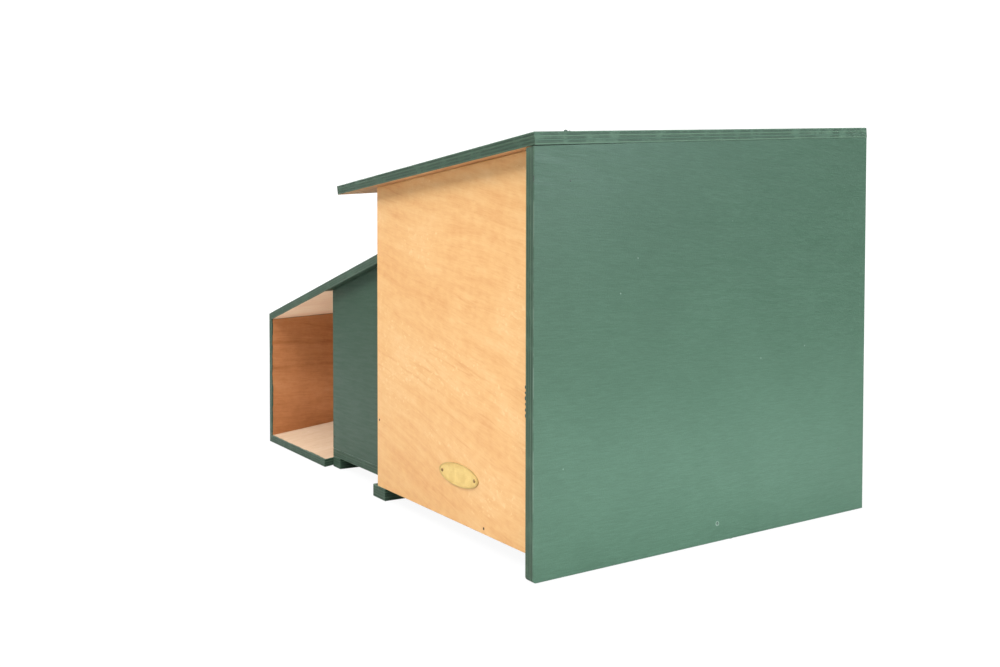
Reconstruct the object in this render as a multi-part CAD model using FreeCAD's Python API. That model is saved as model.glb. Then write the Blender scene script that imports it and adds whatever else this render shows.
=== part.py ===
import FreeCAD, Part
import math
import os

# Nesting box: a tall nest chamber with a hinged sloping roof, and a low porch on its left that holds
# an open alcove and a side passage into the chamber. It is all 12 mm plywood, which measures 11.5 mm
# once it is sanded, on two runners.
# Millimetres. +X to the right, +Y to the back, +Z up. The origin is on the ground below the middle
# of the whole box, hinge knuckles included.

Vector = FreeCAD.Vector

# ---- driving dimensions -----------------------------------------------------------------------------

LENGTH = 810.0              # right side panel's outer face to the alcove end wall's outer face
DEPTH = 474.0               # front edge of the side panel to the back panels' outer faces
BOARD = 11.5                # plywood thickness
EASED_EDGE = 0.6            # chamfer on every sawn edge
CLOSE_EDGE = 0.2            # smaller chamfer where the roof shuts on the side panel

CHAMBER_FRONT_HEIGHT = 390.0    # ground to the roof's top front corner
CHAMBER_WIDTH = 352.0           # outer face to outer face of the nest chamber
FRONT_RECESS = 16.0             # front panel behind the side panel's front edge
MAIN_ROOF_WIDTH = 440.0         # the roof reaches past the chamber and over the porch
MAIN_ROOF_RISE = 0.115          # rise towards the back, mm per mm
ROOF_SEAM = 0.15                # gap between the closed roof and the tops of the walls
SIDE_SEAM_FRONT = 0.8           # wider gap over the side panel's front corner
SIDE_SEAM_TAPER = 130.0         # it narrows to the common gap over this length
SIDE_PANEL_TOE_RADIUS = 4.0     # worn round bottom front corner of the side panel

PORCH_RECESS = 28.0             # alcove and porch roof behind the side panel's front edge
PASSAGE_RECESS = 41.0           # passage front wall behind the side panel's front edge
ALCOVE_WIDTH = 240.0            # clear width between the end wall and the partition
PORCH_ROOF_LOW_TOP = 216.6      # ground to the porch roof's lowest corner, at the front left
PORCH_ROOF_RISE_X = 0.195       # rise towards the chamber
PORCH_ROOF_RISE_Y = 0.0815      # rise towards the back
RAMP_RUN = 112.0                # depth of the sloping sill behind the alcove's front

RUNNER_HEIGHT = 15.0
RUNNER_WIDTH = 34.0
FAR_RUNNER_WIDTH = 26.0
NEAR_RUNNER_UNDER_FLOOR = 9.0   # how far the near runner reaches in under the chamber floor

DOORWAY = (140.0, 150.0)        # width and height of the doorway from the alcove into the passage
DOORWAY_FROM_BACK = 37.0
CHAMBER_HOLE = (140.0, 150.0)   # width and height of the hole from the passage into the chamber
CHAMBER_HOLE_FROM_FRONT = 87.0
CHAMBER_HOLE_SILL = 60.0        # ground to the bottom of the chamber hole
HOLE_CORNER_RADIUS = 15.0

BADGE_LENGTH = 78.5
BADGE_HEIGHT = 23.4
BADGE_THICKNESS = 1.0
BADGE_FROM_RIGHT = 154.8
BADGE_HEIGHT_ABOVE_GROUND = 64.6
BADGE_PIN_SPACING = 65.0

HINGE_LENGTH = 50.0
HINGE_LEAF_THICKNESS = 1.2
HINGE_LEAF_REACH = 11.0         # from the pin's axis to the leaf's far edge
HINGE_KNUCKLE_RADIUS = 2.4
HINGE_KNUCKLES = 5
HINGE_KNUCKLE_GAP = 0.2
HINGE_RELIEF = 2.8              # the leaf is cut back this far from the axis beside the other's knuckles
HINGE_PIN_RADIUS = 1.15
HINGE_BORE_RADIUS = 1.2
HINGE_AXIS_STANDOFF = 2.5       # pin's axis behind the back panel
HINGE_CENTRES_FROM_RIGHT = (70.0, 290.0)
HINGE_SCREW_OFFSET = 16.0       # each screw from the middle of its hinge
HINGE_SCREW_FROM_AXIS = 7.2

NAIL_SHANK_RADIUS = 0.8
NAIL_HEAD_RADIUS = 1.5
NAIL_HEAD_HEIGHT = 0.7
NAIL_LENGTH = 28.0
FLOOR_NAIL_LENGTH = 22.0

# ---- stations worked out from them ------------------------------------------------------------------

X_RIGHT = LENGTH / 2
X_RIGHT_IN = X_RIGHT - BOARD
X_CHAMBER_LEFT = X_RIGHT - CHAMBER_WIDTH
X_CHAMBER_LEFT_IN = X_CHAMBER_LEFT + BOARD
X_END = -LENGTH / 2
X_END_IN = X_END + BOARD
X_PARTITION_LEFT = X_END_IN + ALCOVE_WIDTH
X_PARTITION_RIGHT = X_PARTITION_LEFT + BOARD

HINGE_PROUD = HINGE_AXIS_STANDOFF + HINGE_KNUCKLE_RADIUS
Y_FRONT = -(DEPTH + HINGE_PROUD) / 2
Y_CHAMBER_FRONT = Y_FRONT + FRONT_RECESS
Y_CHAMBER_FRONT_IN = Y_CHAMBER_FRONT + BOARD
Y_PORCH_FRONT = Y_FRONT + PORCH_RECESS
Y_PASSAGE_FRONT = Y_FRONT + PASSAGE_RECESS
Y_PASSAGE_FRONT_IN = Y_PASSAGE_FRONT + BOARD
Y_RAMP_BACK = Y_PORCH_FRONT + RAMP_RUN
Y_BACK = Y_FRONT + DEPTH
Y_BACK_IN = Y_BACK - BOARD

Z_FLOOR = RUNNER_HEIGHT
Z_FLOOR_TOP = Z_FLOOR + BOARD
Z_SIDE_TOP = CHAMBER_FRONT_HEIGHT - 2 * BOARD       # lower than any of the side panel's top edges

ROOF_ANGLE = math.atan(MAIN_ROOF_RISE)
TALL = 600.0                # height of the blanks that the roof planes cut down


# ---- helpers ----------------------------------------------------------------------------------------

def block(x0, x1, y0, y1, z0, z1):
    return Part.makeBox(x1 - x0, y1 - y0, z1 - z0, Vector(x0, y0, z0))


def prism_along_x(points_yz, x0, x1):
    corners = [Vector(x0, y, z) for y, z in points_yz]
    outline = Part.makePolygon(corners + corners[:1])
    return Part.Face(outline).extrude(Vector(x1 - x0, 0, 0))


def eased(board):
    return board.makeChamfer(EASED_EDGE, board.Edges)


def main_roof_underside(y):
    front_top = CHAMBER_FRONT_HEIGHT - BOARD / math.cos(ROOF_ANGLE)
    return front_top + MAIN_ROOF_RISE * (y - Y_FRONT)


def porch_roof_top(x, y):
    return PORCH_ROOF_LOW_TOP + PORCH_ROOF_RISE_X * (x - X_END) + PORCH_ROOF_RISE_Y * (y - Y_PORCH_FRONT)


def porch_roof_plumb_thickness():
    return BOARD * math.sqrt(1 + PORCH_ROOF_RISE_X ** 2 + PORCH_ROOF_RISE_Y ** 2)


def porch_roof_normal():
    return Vector(-PORCH_ROOF_RISE_X, -PORCH_ROOF_RISE_Y, 1).normalize()


def porch_slab(x0, x1, y0, y1, height):
    """A solid on the porch roof's underside plane, reaching this far straight up."""
    drop = porch_roof_plumb_thickness()
    plan = [(x0, y0), (x1, y0), (x1, y1), (x0, y1)]
    corners = [Vector(x, y, porch_roof_top(x, y) - drop) for x, y in plan]
    outline = Part.makePolygon(corners + corners[:1])
    return Part.Face(outline).extrude(Vector(0, 0, height))


def wall_top(y):
    """Height of the sloping tops of the chamber's walls, just clear of the closed roof."""
    return main_roof_underside(y) - ROOF_SEAM


def under_main_roof(blank):
    y0 = Y_FRONT - 50
    y1 = Y_BACK + 50
    points = [(y0, wall_top(y0)), (y1, wall_top(y1)), (y1, 2 * TALL), (y0, 2 * TALL)]
    return blank.cut(prism_along_x(points, X_END - 50, X_RIGHT + 50))


def under_porch_roof(blank):
    above = porch_slab(X_END - 50, X_CHAMBER_LEFT + 50, Y_FRONT - 50, Y_BACK + 50, 2 * TALL)
    return blank.cut(above)


def rounded_hole_along_x(x_middle, y0, y1, z0, z1):
    cutter = block(x_middle - 30, x_middle + 30, y0, y1, z0, z1)
    long_edges = [edge for edge in cutter.Edges if abs(edge.tangentAt(0).x) > 0.9]
    return cutter.makeFillet(HOLE_CORNER_RADIUS, long_edges)


def nail(head_point, direction, length=NAIL_LENGTH):
    """A flush round-headed nail: the middle of its head's face, and the way it is driven."""
    head = Part.makeCylinder(NAIL_HEAD_RADIUS, NAIL_HEAD_HEIGHT, head_point, direction)
    shank = Part.makeCylinder(NAIL_SHANK_RADIUS, length, head_point, direction)
    return head.fuse(shank).removeSplitter()


def countersunk_screw(head_point, direction, length, head_radius, shank_radius):
    """A flush screw with a cross recess: the middle of its head's face, and the way it is driven."""
    cone = Part.makeCone(head_radius, shank_radius, head_radius - shank_radius, head_point, direction)
    shank = Part.makeCylinder(shank_radius, length, head_point, direction)
    screw = cone.fuse(shank).removeSplitter()
    half_width = head_radius * 0.12
    half_span = head_radius * 0.62
    depth = head_radius * 0.45
    turn = FreeCAD.Rotation(Vector(0, 0, 1), direction)
    for across, along in ((half_width, half_span), (half_span, half_width)):
        slot = Part.makeBox(2 * across, 2 * along, 2 * depth, Vector(-across, -along, -depth))
        slot.Placement = FreeCAD.Placement(head_point, turn).multiply(slot.Placement)
        screw = screw.cut(slot)
    return screw


def plain_screw_space(head_point, direction, length, head_radius, shank_radius):
    """The room a countersunk screw takes up, for cutting its hole."""
    cone = Part.makeCone(head_radius, shank_radius, head_radius - shank_radius, head_point, direction)
    return cone.fuse(Part.makeCylinder(shank_radius, length, head_point, direction))


def drilled(board, fasteners):
    for fastener in fasteners:
        board = board.cut(fastener)
    return board


# ---- boards -----------------------------------------------------------------------------------------

def make_right_side_panel():
    y_taper = Y_FRONT + SIDE_SEAM_TAPER
    points = [(Y_FRONT, 0), (Y_BACK, 0), (Y_BACK, wall_top(Y_BACK)), (y_taper, wall_top(y_taper))]
    points += [(Y_FRONT, main_roof_underside(Y_FRONT) - SIDE_SEAM_FRONT)]
    panel = prism_along_x(points, X_RIGHT_IN, X_RIGHT)
    toe = [edge for edge in panel.Edges
           if abs(edge.CenterOfMass.y - Y_FRONT) < 0.01 and abs(edge.CenterOfMass.z) < 0.01]
    panel = panel.makeFillet(SIDE_PANEL_TOE_RADIUS, toe)
    outer = [edge for edge in panel.Edges
             if all(abs(vertex.Point.x - X_RIGHT) < 0.01 for vertex in edge.Vertexes)]
    return panel.makeChamfer(EASED_EDGE, [edge for edge in outer if edge.CenterOfMass.z < Z_SIDE_TOP])


def make_front_panel():
    blank = block(X_CHAMBER_LEFT, X_RIGHT_IN, Y_CHAMBER_FRONT, Y_CHAMBER_FRONT_IN, Z_FLOOR, TALL)
    return eased(under_main_roof(blank))


def make_chamber_back_panel():
    blank = block(X_CHAMBER_LEFT, X_RIGHT_IN, Y_BACK_IN, Y_BACK, Z_FLOOR, TALL)
    return eased(under_main_roof(blank))


def make_chamber_left_wall():
    blank = block(X_CHAMBER_LEFT, X_CHAMBER_LEFT_IN, Y_CHAMBER_FRONT_IN, Y_BACK_IN, Z_FLOOR, TALL)
    wall = eased(under_main_roof(blank))
    y0 = Y_FRONT + CHAMBER_HOLE_FROM_FRONT
    z0 = CHAMBER_HOLE_SILL
    hole = rounded_hole_along_x(X_CHAMBER_LEFT, y0, y0 + CHAMBER_HOLE[0], z0, z0 + CHAMBER_HOLE[1])
    return wall.cut(hole)


def make_chamber_floor():
    return eased(block(X_CHAMBER_LEFT_IN, X_RIGHT_IN, Y_CHAMBER_FRONT_IN, Y_BACK_IN, Z_FLOOR, Z_FLOOR_TOP))


def make_main_roof():
    lean = BOARD * math.sin(ROOF_ANGLE)
    run = (DEPTH - lean) / math.cos(ROOF_ANGLE)
    roof = Part.makeBox(MAIN_ROOF_WIDTH, run, BOARD, Vector(X_RIGHT - MAIN_ROOF_WIDTH, 0, -BOARD))
    upper = [edge for edge in roof.Edges if abs(edge.CenterOfMass.z) < 0.01]
    lower = [edge for edge in roof.Edges if abs(edge.CenterOfMass.z + BOARD) < 0.01]
    roof = roof.makeChamfer(EASED_EDGE, upper).makeChamfer(CLOSE_EDGE, lower)
    roof.rotate(Vector(0, 0, 0), Vector(1, 0, 0), math.degrees(ROOF_ANGLE))
    roof.translate(Vector(0, Y_FRONT, CHAMBER_FRONT_HEIGHT))
    return roof


def make_near_runner():
    x1 = X_CHAMBER_LEFT_IN + NEAR_RUNNER_UNDER_FLOOR
    return eased(block(x1 - RUNNER_WIDTH, x1, Y_CHAMBER_FRONT, Y_BACK, 0, RUNNER_HEIGHT))


def make_far_runner():
    x0 = X_PARTITION_LEFT
    return eased(block(x0, x0 + FAR_RUNNER_WIDTH, Y_PASSAGE_FRONT, Y_BACK, 0, RUNNER_HEIGHT))


def make_passage_front_wall():
    blank = block(X_PARTITION_LEFT, X_CHAMBER_LEFT, Y_PASSAGE_FRONT, Y_PASSAGE_FRONT_IN,
                  Z_FLOOR_TOP, TALL)
    return eased(under_porch_roof(blank))


def make_passage_floor():
    return eased(block(X_PARTITION_LEFT, X_CHAMBER_LEFT, Y_PASSAGE_FRONT, Y_BACK_IN, Z_FLOOR, Z_FLOOR_TOP))


def make_entrance_partition():
    blank = block(X_PARTITION_LEFT, X_PARTITION_RIGHT, Y_PASSAGE_FRONT_IN, Y_BACK_IN, Z_FLOOR_TOP, TALL)
    wall = eased(under_porch_roof(blank))
    y1 = Y_BACK - DOORWAY_FROM_BACK
    doorway = rounded_hole_along_x(X_PARTITION_LEFT, y1 - DOORWAY[0], y1, 0, Z_FLOOR_TOP + DOORWAY[1])
    return wall.cut(doorway)


def ramp_slope():
    return RUNNER_HEIGHT / RAMP_RUN


def make_alcove_ramp():
    rise = ramp_slope()
    plumb = BOARD
    points = [(Y_PORCH_FRONT, 0), (Y_RAMP_BACK, rise * RAMP_RUN)]
    points += [(Y_RAMP_BACK, rise * RAMP_RUN + plumb), (Y_PORCH_FRONT, plumb)]
    return eased(prism_along_x(points, X_END_IN, X_PARTITION_LEFT))


def make_alcove_floor():
    return eased(block(X_END_IN, X_PARTITION_LEFT, Y_RAMP_BACK, Y_BACK_IN, Z_FLOOR, Z_FLOOR_TOP))


def make_alcove_front_batten():
    bevel = 14.0
    y0 = Y_RAMP_BACK - bevel
    points = [(y0, 0), (y0 + RUNNER_WIDTH, 0), (y0 + RUNNER_WIDTH, RUNNER_HEIGHT)]
    points += [(Y_RAMP_BACK, RUNNER_HEIGHT), (y0, RUNNER_HEIGHT - ramp_slope() * bevel)]
    return prism_along_x(points, X_END_IN, X_PARTITION_LEFT)


def make_alcove_rear_batten():
    return eased(block(X_END_IN, X_PARTITION_LEFT, Y_BACK - RUNNER_WIDTH, Y_BACK, 0, RUNNER_HEIGHT))


def make_alcove_end_wall():
    blank = block(X_END, X_END_IN, Y_PORCH_FRONT, Y_BACK, 0, TALL)
    return eased(under_porch_roof(blank))


def make_porch_back_panel():
    blank = block(X_END_IN, X_CHAMBER_LEFT, Y_BACK_IN, Y_BACK, Z_FLOOR, TALL)
    return eased(under_porch_roof(blank))


def make_porch_roof():
    return eased(porch_slab(X_END, X_CHAMBER_LEFT, Y_PORCH_FRONT, Y_BACK, porch_roof_plumb_thickness()))


# ---- badge ------------------------------------------------------------------------------------------

def badge_centre():
    return Vector(X_RIGHT - BADGE_FROM_RIGHT, Y_CHAMBER_FRONT, BADGE_HEIGHT_ABOVE_GROUND)


def make_badge_pins():
    pins = []
    for side in (-1, 1):
        foot = badge_centre() + Vector(side * BADGE_PIN_SPACING / 2, -BADGE_THICKNESS, 0)
        dome = Part.makeSphere(2.2, foot + Vector(0, 0.9, 0))
        dome = dome.cut(Part.makeBox(10, 10, 10, foot + Vector(-5, 0, -5)))
        shank = Part.makeCylinder(NAIL_SHANK_RADIUS, 10, foot + Vector(0, -0.5, 0), Vector(0, 1, 0))
        pins.append(dome.fuse(shank))
    return pins


def oval(inset, thickness, lift):
    """An upright oval slab, inset this far from the badge's outline."""
    edge = Part.Ellipse(Vector(0, 0, lift), BADGE_LENGTH / 2 - inset, BADGE_HEIGHT / 2 - inset)
    return Part.Face(Part.Wire(edge.toShape())).extrude(Vector(0, 0, thickness))


def make_badge_plate(pins):
    """The oval plate, with a fine line engraved just inside its rim."""
    groove_floor = BADGE_THICKNESS - 0.25
    groove = oval(1.6, 1.0, groove_floor).cut(oval(2.2, 1.0, groove_floor))
    plate = oval(0.0, BADGE_THICKNESS, 0.0).cut(groove)
    plate.Placement = FreeCAD.Placement(badge_centre(), FreeCAD.Rotation(Vector(1, 0, 0), 90))
    return drilled(plate, pins)


# ---- hinges -----------------------------------------------------------------------------------------

def hinge_axis():
    return Vector(0, Y_BACK + HINGE_AXIS_STANDOFF, main_roof_underside(Y_BACK) - ROOF_SEAM / 2)


def hinge_centres():
    return [X_RIGHT - distance for distance in HINGE_CENTRES_FROM_RIGHT]


def knuckle_spans(x_middle, first):
    """Start and end of every other knuckle along the pin, beginning with this one."""
    pitch = HINGE_LENGTH / HINGE_KNUCKLES
    start = x_middle - HINGE_LENGTH / 2
    spans = []
    for index in range(first, HINGE_KNUCKLES, 2):
        x0 = start + index * pitch + HINGE_KNUCKLE_GAP / 2
        spans.append((x0, x0 + pitch - HINGE_KNUCKLE_GAP))
    return spans


def leaf_against_back(x_middle, first, standoff):
    """A leaf hanging below an axis through the origin, its back this far in front of the axis."""
    x0 = x_middle - HINGE_LENGTH / 2
    x1 = x_middle + HINGE_LENGTH / 2
    face = -standoff
    leaf = block(x0, x1, face, face + HINGE_LEAF_THICKNESS, -HINGE_LEAF_REACH, -HINGE_RELIEF)
    for a, b in knuckle_spans(x_middle, first):
        leaf = leaf.fuse(block(a, b, face, face + HINGE_LEAF_THICKNESS, -HINGE_RELIEF, 0))
        leaf = leaf.fuse(Part.makeCylinder(HINGE_KNUCKLE_RADIUS, b - a, Vector(a, 0, 0), Vector(1, 0, 0)))
    bore = Part.makeCylinder(HINGE_BORE_RADIUS, 2 * HINGE_LENGTH, Vector(x0 - 25, 0, 0), Vector(1, 0, 0))
    return leaf.removeSplitter().cut(bore)


def leaf_screw_places(x_middle, standoff):
    y = HINGE_LEAF_THICKNESS - standoff
    return [Vector(x_middle + side * HINGE_SCREW_OFFSET, y, -HINGE_SCREW_FROM_AXIS) for side in (-1, 1)]


def roof_edge_standoff():
    """Distance from the pin's axis to the roof's rear edge face."""
    return HINGE_AXIS_STANDOFF * math.cos(ROOF_ANGLE) - ROOF_SEAM / 2 * math.sin(ROOF_ANGLE)


def to_panel(shape):
    shape.translate(hinge_axis())
    return shape


def to_roof_edge(shape):
    """Turns a leaf made below the axis up against the roof's rear edge."""
    shape = shape.mirror(Vector(0, 0, 0), Vector(0, 0, 1))
    shape.rotate(Vector(0, 0, 0), Vector(1, 0, 0), math.degrees(ROOF_ANGLE))
    shape.translate(hinge_axis())
    return shape


def hinge_leaf_set(first, standoff, place):
    """Both hinges' leaves on one side, their screws, and the room the screws take up."""
    leaves = []
    screws = []
    spaces = []
    for x_middle in hinge_centres():
        leaf = leaf_against_back(x_middle, first, standoff)
        for spot in leaf_screw_places(x_middle, standoff):
            space = plain_screw_space(spot, Vector(0, -1, 0), 12.0, 2.6, 1.4)
            leaf = leaf.cut(space)
            screws.append(place(countersunk_screw(spot, Vector(0, -1, 0), 12.0, 2.6, 1.4)))
            spaces.append(place(space))
        leaves.append(place(leaf))
    return leaves, screws, spaces


def make_hinge_pins():
    pins = []
    axis = hinge_axis()
    for x_middle in hinge_centres():
        x0 = x_middle - HINGE_LENGTH / 2 - 0.1
        length = HINGE_LENGTH + 0.2
        pin = Part.makeCylinder(HINGE_PIN_RADIUS, length, Vector(x0, axis.y, axis.z), Vector(1, 0, 0))
        for x_head in (x0 - 0.7, x0 + length):
            head = Part.makeCylinder(1.9, 0.7, Vector(x_head, axis.y, axis.z), Vector(1, 0, 0))
            pin = pin.fuse(head)
        pins.append(pin.removeSplitter())
    return pins


# ---- nails and screws -------------------------------------------------------------------------------

def make_front_panel_nails():
    wall_middle = X_CHAMBER_LEFT + BOARD / 2
    floor_middle = Z_FLOOR + BOARD / 2
    places = [(wall_middle, 97.0), (X_RIGHT - 106.0, floor_middle)]
    return [nail(Vector(x, Y_CHAMBER_FRONT, z), Vector(0, 1, 0)) for x, z in places]


def make_passage_wall_nails():
    x = X_PARTITION_LEFT + BOARD / 2
    return [nail(Vector(x, Y_PASSAGE_FRONT, z), Vector(0, 1, 0)) for z in (44.0, 225.0)]


def side_panel_screw_place():
    return Vector(X_RIGHT, Y_FRONT + 229.0, Z_FLOOR + 3.5)


def make_chamber_back_nails():
    floor_middle = Z_FLOOR + BOARD / 2
    places = [(X_CHAMBER_LEFT + BOARD / 2, z) for z in (110.0, 340.0)]
    places += [(x, floor_middle) for x in (150.0, 320.0)]
    return [nail(Vector(x, Y_BACK, z), Vector(0, -1, 0)) for x, z in places]


def make_porch_back_nails():
    floor_middle = Z_FLOOR + BOARD / 2
    places = [(X_PARTITION_LEFT + BOARD / 2, z) for z in (70.0, 230.0)]
    places += [(x, floor_middle) for x in (-330.0, -210.0, -45.0)]
    return [nail(Vector(x, Y_BACK, z), Vector(0, -1, 0)) for x, z in places]


def make_end_wall_nails():
    ramp_y = Y_PORCH_FRONT + 50.0
    ramp_z = ramp_slope() * 50.0 + BOARD / 2
    places = [(ramp_y, ramp_z), (0.0, Z_FLOOR + BOARD / 2), (160.0, Z_FLOOR + BOARD / 2)]
    places += [(Y_BACK - BOARD / 2, z) for z in (70.0, 190.0)]
    return [nail(Vector(X_END, y, z), Vector(1, 0, 0)) for y, z in places]


def make_porch_roof_nails():
    inward = porch_roof_normal().negative()
    nails = []
    for x_wall in (X_END + BOARD / 2, X_PARTITION_LEFT + BOARD / 2):
        for y in (-150.0, 20.0, 190.0):
            x = x_wall - 2.5
            nails.append(nail(Vector(x, y, porch_roof_top(x, y)), inward))
    return nails


def make_floor_nails():
    down = Vector(0, 0, -1)
    near_inside = X_CHAMBER_LEFT_IN + NEAR_RUNNER_UNDER_FLOOR / 2
    near_outside = X_CHAMBER_LEFT - 6.5
    far = X_PARTITION_RIGHT + 7.0
    nails = []
    for x in (near_inside, near_outside, far):
        for y in (-150.0, 20.0, 190.0):
            nails.append(nail(Vector(x, y, Z_FLOOR_TOP), down, FLOOR_NAIL_LENGTH))
    for x in (-305.0, -185.0):
        for y in (Y_RAMP_BACK + 10.0, Y_BACK_IN - 11.0):
            nails.append(nail(Vector(x, y, Z_FLOOR_TOP), down, FLOOR_NAIL_LENGTH))
    return nails


# ---- assembly ---------------------------------------------------------------------------------------

def build_nodes():
    across = Vector(-1, 0, 0)
    side_screw = countersunk_screw(side_panel_screw_place(), across, 38.0, 2.6, 1.4)
    side_screw_space = plain_screw_space(side_panel_screw_place(), across, 38.0, 2.6, 1.4)
    badge_pins = make_badge_pins()
    panel_leaves, panel_screws, panel_spaces = hinge_leaf_set(0, HINGE_AXIS_STANDOFF, to_panel)
    roof_leaves, roof_screws, roof_spaces = hinge_leaf_set(1, roof_edge_standoff(), to_roof_edge)

    front_nails = make_front_panel_nails()
    passage_nails = make_passage_wall_nails()
    chamber_back_nails = make_chamber_back_nails()
    porch_back_nails = make_porch_back_nails()
    end_nails = make_end_wall_nails()
    porch_roof_nails = make_porch_roof_nails()
    floor_nails = make_floor_nails()

    wall_nails = front_nails + chamber_back_nails
    porch_nails = passage_nails + porch_back_nails + end_nails + porch_roof_nails
    boards = {
        "right_side_panel": (make_right_side_panel(), [side_screw_space]),
        "front_panel": (make_front_panel(), front_nails + badge_pins),
        "chamber_back_panel": (make_chamber_back_panel(), chamber_back_nails + panel_spaces),
        "chamber_left_wall": (make_chamber_left_wall(), wall_nails),
        "chamber_floor": (make_chamber_floor(), wall_nails + floor_nails + [side_screw_space]),
        "main_roof": (make_main_roof(), roof_spaces),
        "near_runner": (make_near_runner(), floor_nails),
        "far_runner": (make_far_runner(), floor_nails),
        "passage_front_wall": (make_passage_front_wall(), passage_nails),
        "passage_floor": (make_passage_floor(), floor_nails + porch_back_nails),
        "entrance_partition": (make_entrance_partition(), porch_nails),
        "alcove_ramp": (make_alcove_ramp(), end_nails),
        "alcove_floor": (make_alcove_floor(), floor_nails + end_nails + porch_back_nails),
        "alcove_front_batten": (make_alcove_front_batten(), floor_nails),
        "alcove_rear_batten": (make_alcove_rear_batten(), floor_nails),
        "alcove_end_wall": (make_alcove_end_wall(), end_nails + porch_roof_nails),
        "porch_back_panel": (make_porch_back_panel(), porch_back_nails + end_nails),
        "porch_roof": (make_porch_roof(), porch_roof_nails),
    }
    nodes = {}
    for name, (board, fasteners) in boards.items():
        nodes[name] = [drilled(board, fasteners)]
    nodes["badge_plate"] = [make_badge_plate(badge_pins)]
    nodes["badge_pins"] = badge_pins
    nodes["hinge_panel_leaves"] = panel_leaves
    nodes["hinge_roof_leaves"] = roof_leaves
    nodes["hinge_pins"] = make_hinge_pins()
    nodes["hinge_panel_screws"] = panel_screws
    nodes["hinge_roof_screws"] = roof_screws
    nodes["side_panel_screw"] = [side_screw]
    nodes["front_panel_nails"] = front_nails
    nodes["passage_wall_nails"] = passage_nails
    nodes["chamber_back_nails"] = chamber_back_nails
    nodes["porch_back_nails"] = porch_back_nails
    nodes["end_wall_nails"] = end_nails
    nodes["porch_roof_nails"] = porch_roof_nails
    nodes["floor_nails"] = floor_nails
    return nodes


def write_parts():
    os.makedirs("parts", exist_ok=True)
    for name, solids in build_nodes().items():
        shape = solids[0] if len(solids) == 1 else Part.makeCompound(solids)
        shape.exportStep("parts/" + name + ".step")
        print(name, len(shape.Solids), shape.isValid(), round(shape.Volume / 1000, 2), "cm3")


write_parts()
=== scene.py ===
import math
import random
from itertools import product

import bmesh
import bpy
from mathutils import Matrix, Vector, noise


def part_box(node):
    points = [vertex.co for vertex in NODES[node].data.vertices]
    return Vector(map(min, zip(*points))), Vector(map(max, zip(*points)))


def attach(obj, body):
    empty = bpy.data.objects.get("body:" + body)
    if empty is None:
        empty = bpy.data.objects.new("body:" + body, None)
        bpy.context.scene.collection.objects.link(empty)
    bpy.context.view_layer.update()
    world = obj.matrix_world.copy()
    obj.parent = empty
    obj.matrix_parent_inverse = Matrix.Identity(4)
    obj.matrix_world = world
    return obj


# Looks for the plywood nesting box: satin green paint outside, varnished and bare veneers, brass
# fittings, a pale floor, soft light and the camera. Metres, in the CAD's own frame.

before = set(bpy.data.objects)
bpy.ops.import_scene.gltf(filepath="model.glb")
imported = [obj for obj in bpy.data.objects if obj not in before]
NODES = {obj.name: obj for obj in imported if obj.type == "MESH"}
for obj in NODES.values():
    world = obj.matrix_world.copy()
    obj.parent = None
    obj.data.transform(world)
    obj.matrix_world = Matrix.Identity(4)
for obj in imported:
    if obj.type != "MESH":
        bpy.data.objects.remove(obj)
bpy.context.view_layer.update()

X, Y, Z = (1.0, 0.0, 0.0), (0.0, 1.0, 0.0), (0.0, 0.0, 1.0)
NEG_X, NEG_Y, NEG_Z = (-1.0, 0.0, 0.0), (0.0, -1.0, 0.0), (0.0, 0.0, -1.0)

# ---- sizes and settings --------------------------------------------------------------------------

BOARD = 0.0115                      # plywood thickness
PLIES = 7
MAIN_ROOF_RISE = 0.115              # towards the back, per metre
PORCH_ROOF_RISE = (0.195, 0.0815)   # towards the chamber and towards the back, per metre
GRAIN_TILT = math.radians(-13.5)    # the front veneer's grain falls to the right
FRONT_GRAIN = (math.cos(GRAIN_TILT), 0.0, math.sin(GRAIN_TILT))
PAINT_LAP = 0.002                   # paint from a board's front edge reaches this far onto bare faces
SIDE_LAP = 0.004                    # bare wood below the roof ends this far in over the side panel
SHINE = 0.16                        # specular level of the varnish and the paint; 0.5 would be glass
NIB_MARGIN = 0.03                   # paint nibs keep this far from the side panel's edges

FLOOR_GLOW_SHARE = 0.90             # how much of the floor's look is glow, to the camera only
SKY_FILL = 0.30                     # strength of the sky for everything but the camera
SKY_SEEN = 1.15                     # strength of the sky for the camera

# The view under which the box's straight edges fall where they were measured.
CAMERA_PLACE = Vector((0.98995, -0.65454, 0.25257))
CAMERA_YAW = math.radians(56.932)   # turned this far from looking along +Y towards -X
CAMERA_PITCH = math.radians(1.436)  # looking down
CAMERA_ROLL = math.radians(0.08)
CAMERA_LENS = 30.081                # mm, on a 36 mm wide sensor
CAMERA_SHIFT_Y = -0.0202

# ---- colours, linear -----------------------------------------------------------------------------

GREEN = (0.0350, 0.0690, 0.0450)
GREEN_SHADE = (0.0290, 0.0580, 0.0375)
GREEN_PALE = (0.0430, 0.0820, 0.0550)
EDGE_GREEN = (0.058, 0.101, 0.066)
# The palest green: pale specks, the painted-over screw, and chamfered corners, where it is part worn paint
# and part painted highlight.
PALEST_GREEN = (0.110, 0.155, 0.120)
NIB_GREEN = (0.060, 0.100, 0.070)
DEEP_GREEN = (0.010, 0.020, 0.013)  # paint in the hollows of a sawn edge, and dark specks

FRONT_TONES = ((0.525, 0.262, 0.098), (0.600, 0.346, 0.144), (0.650, 0.418, 0.203))
RED_TONES = ((0.34, 0.125, 0.044), (0.48, 0.195, 0.074), (0.57, 0.27, 0.118))
PALE_TONES = ((0.40, 0.27, 0.175), (0.50, 0.360, 0.246), (0.56, 0.435, 0.320))
# The porch roof's underside. It is paler than the same wood elsewhere, to make up for light that a
# white floor would throw up into the alcove.
CEILING_TONES = ((0.78, 0.52, 0.35), (0.90, 0.66, 0.46), (0.94, 0.76, 0.57))
WARM_TONES = ((0.34, 0.157, 0.057), (0.46, 0.235, 0.10), (0.53, 0.307, 0.15))

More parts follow.
